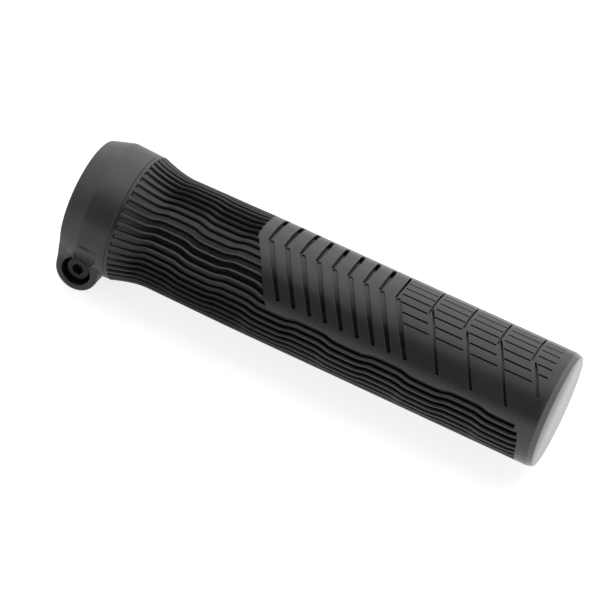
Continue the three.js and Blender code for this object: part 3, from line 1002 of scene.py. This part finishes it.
def make_screw():
    """The socket-head screw, with a rounded head edge, a hexagon socket and a turned thread."""
    top = screw_low.y + HEAD_SINK
    seat = screw_low.y + HEAD_HEIGHT
    end = screw_high.y
    middle = ROUND_MIDDLE * HEAD_CHAMFER
    profile = [
        (0, top), (HEAD_RADIUS - 2 * HEAD_CHAMFER, top), (HEAD_RADIUS - HEAD_CHAMFER, top + middle),
        (HEAD_RADIUS - middle, top + HEAD_CHAMFER), (HEAD_RADIUS, top + 2 * HEAD_CHAMFER),
        (HEAD_RADIUS, seat), (SHANK_RADIUS, seat),
    ]
    y = seat + THREAD_START
    while y < end - THREAD_PITCH:
        profile += [(SHANK_RADIUS, y), (SHANK_RADIUS - THREAD_DEPTH, y + THREAD_PITCH / 2)]
        y += THREAD_PITCH
    profile += [(SHANK_RADIUS, y), (SHANK_RADIUS - THREAD_DEPTH, end), (0, end)]
    screw = make_object("socket_screw", *turned_about_screw(profile, SCREW_SEGMENTS), [screw_steel])
    hex_radius = HEX_FLATS / math.sqrt(3)
    cut(screw, screw_cylinder(hex_radius, top - OVERCUT, top + HEX_DEPTH, HEX_SIDES))
    finish_piece(screw, "clamp_screw", sharp_angle=30)


# Studio

def view_axes():
    """The grip's X, Y and Z directions as seen by the camera: right, up and towards it."""
    slope = math.radians(GRIP_SLOPE)
    towards = math.radians(GRIP_TOWARDS)
    facing = math.radians(FACING_ANGLE)
    outboard = Vector((math.cos(towards) * math.cos(slope), -math.cos(towards) * math.sin(slope),
                       math.sin(towards)))
    across = Vector((-math.sin(slope), -math.cos(slope), 0))
    front = across.cross(outboard)
    up = math.cos(facing) * front - math.sin(facing) * across
    side = -math.sin(facing) * front - math.cos(facing) * across
    return outboard, side, up


def add_camera():
    """The camera, where it sees the grip as the photo does."""
    outboard, side, up = view_axes()
    middle = Vector((MIDDLE_RIGHT, MIDDLE_UP, -CAMERA_DISTANCE))
    origin = middle + outboard * GRIP_LENGTH / 2
    to_view = Matrix((outboard, side, up)).transposed().to_4x4()
    to_view.translation = origin * MM
    data = bpy.data.cameras.new("camera")
    data.sensor_width = SENSOR_WIDTH
    data.lens = FOCAL_PIXELS / IMAGE_SIZE * SENSOR_WIDTH
    data.clip_start = CLIP_START
    data.clip_end = CLIP_END
    camera = bpy.data.objects.new("camera", data)
    camera.matrix_world = to_view.inverted()
    bpy.context.scene.collection.objects.link(camera)
    bpy.context.scene.camera = camera


def seen_as_white(tree, shader_socket):
    """Mixes in plain white for camera, glossy and transmission rays."""
    nodes = tree.nodes
    links = tree.links
    path = nodes.new("ShaderNodeLightPath")
    seen = math_node(tree, "MAXIMUM", path.outputs["Is Camera Ray"], path.outputs["Is Glossy Ray"])
    seen = math_node(tree, "MAXIMUM", seen, path.outputs["Is Transmission Ray"])
    white = nodes.new("ShaderNodeBackground")
    white.inputs["Color"].default_value = WHITE
    white.inputs["Strength"].default_value = 1.0
    mix = nodes.new("ShaderNodeMixShader")
    links.new(seen, mix.inputs["Fac"])
    links.new(shader_socket, mix.inputs[1])
    links.new(white.outputs[0], mix.inputs[2])
    return mix


def add_world():
    """A soft even light, seen as plain white."""
    world = bpy.data.worlds.new("studio")
    bpy.context.scene.world = world
    world.use_nodes = True
    tree = world.node_tree
    tree.nodes.clear()
    dim = tree.nodes.new("ShaderNodeBackground")
    dim.inputs["Color"].default_value = WHITE
    dim.inputs["Strength"].default_value = WORLD_STRENGTH
    output = tree.nodes.new("ShaderNodeOutputWorld")
    mix = seen_as_white(tree, dim.outputs[0])
    tree.links.new(mix.outputs[0], output.inputs["Surface"])


def add_floor():
    """A pale level floor under the lug, which shines more in reflections near the outboard end."""
    low = SCREW_HEIGHT - LUG_RADIUS - FLOOR_GAP
    mesh = bpy.data.meshes.new("floor")
    half = FLOOR_SIZE / 2
    corners = [(-half, -half, 0), (half, -half, 0), (half, half, 0), (-half, half, 0)]
    mesh.from_pydata(corners, [], [(0, 1, 2, 3)])
    floor = bpy.data.objects.new("floor", mesh)
    floor.location = ((SCREW_STATION - GRIP_LENGTH) * MM, 0, low * MM)
    bpy.context.scene.collection.objects.link(floor)
    material = bpy.data.materials.new("floor")
    material.use_nodes = True
    tree = material.node_tree
    tree.nodes.clear()
    output = tree.nodes.new("ShaderNodeOutputMaterial")
    diffuse = tree.nodes.new("ShaderNodeBsdfDiffuse")
    diffuse.inputs["Color"].default_value = FLOOR_COLOUR
    glow = tree.nodes.new("ShaderNodeEmission")
    path = tree.nodes.new("ShaderNodeLightPath")
    place = tree.nodes.new("ShaderNodeTexCoord")
    parts = tree.nodes.new("ShaderNodeSeparateXYZ")
    tree.links.new(place.outputs["Object"], parts.inputs[0])
    along = tree.nodes.new("ShaderNodeMapRange")
    along.inputs["From Min"].default_value = 0.0
    along.inputs["From Max"].default_value = GRIP_LENGTH * MM
    along.inputs["To Min"].default_value = SHEEN_INBOARD
    along.inputs["To Max"].default_value = SHEEN_OUTBOARD
    tree.links.new(parts.outputs["X"], along.inputs["Value"])
    sheen = math_node(tree, "MULTIPLY", path.outputs["Is Glossy Ray"], along.outputs["Result"])
    shown = math_node(tree, "MULTIPLY", path.outputs["Is Camera Ray"], FLOOR_GLOW)
    tree.links.new(math_node(tree, "ADD", sheen, shown), glow.inputs["Strength"])
    both = tree.nodes.new("ShaderNodeAddShader")
    tree.links.new(diffuse.outputs[0], both.inputs[0])
    tree.links.new(glow.outputs[0], both.inputs[1])
    tree.links.new(both.outputs[0], output.inputs["Surface"])
    mesh.materials.append(material)


def add_softbox():
    """A soft rectangular lamp above the grip, facing the bar axis and invisible to the camera."""
    data = bpy.data.lights.new("top_softbox", "AREA")
    data.shape = "RECTANGLE"
    data.size = TOP_LIGHT_LENGTH
    data.size_y = TOP_LIGHT_WIDTH
    data.energy = TOP_LIGHT * math.pi * TOP_LIGHT_WIDTH * TOP_LIGHT_LENGTH
    lamp = bpy.data.objects.new("top_softbox", data)
    turn = math.radians(TOP_LIGHT_ANGLE)
    lamp.location = (TOP_LIGHT_SHIFT, -TOP_LIGHT_DISTANCE * math.sin(turn),
                     TOP_LIGHT_DISTANCE * math.cos(turn))
    lamp.rotation_euler = (turn, 0, 0)
    lamp.visible_camera = False
    bpy.context.scene.collection.objects.link(lamp)


def add_card():
    """A dark card on the camera's side of the grip, seen only in reflections."""
    turn = math.radians(FACING_ANGLE + CARD_TURN)
    out = Vector((0, -math.sin(turn), math.cos(turn)))
    side = Vector((0, math.cos(turn), math.sin(turn)))
    middle = out * CARD_DISTANCE + Vector((CARD_SHIFT, 0, 0))
    corners = [middle + Vector((x * CARD_LENGTH / 2, 0, 0)) + side * y * CARD_WIDTH / 2
               for x, y in ((-1, -1), (1, -1), (1, 1), (-1, 1))]
    mesh = bpy.data.meshes.new("card")
    mesh.from_pydata([tuple(corner * MM) for corner in corners], [], [(0, 1, 2, 3)])
    card = bpy.data.objects.new("card", mesh)
    bpy.context.scene.collection.objects.link(card)
    material, shader = new_material("card")
    shader.inputs["Base Color"].default_value = CARD_COLOUR
    shader.inputs["Roughness"].default_value = 1.0
    mesh.materials.append(material)
    card.visible_camera = False
    card.visible_diffuse = False
    card.visible_shadow = False


add_camera()
add_world()
add_floor()
add_card()
add_softbox()
make_sleeve()
make_core()
make_collar()
make_screw()

bpy.context.scene.view_settings.view_transform = "Standard"
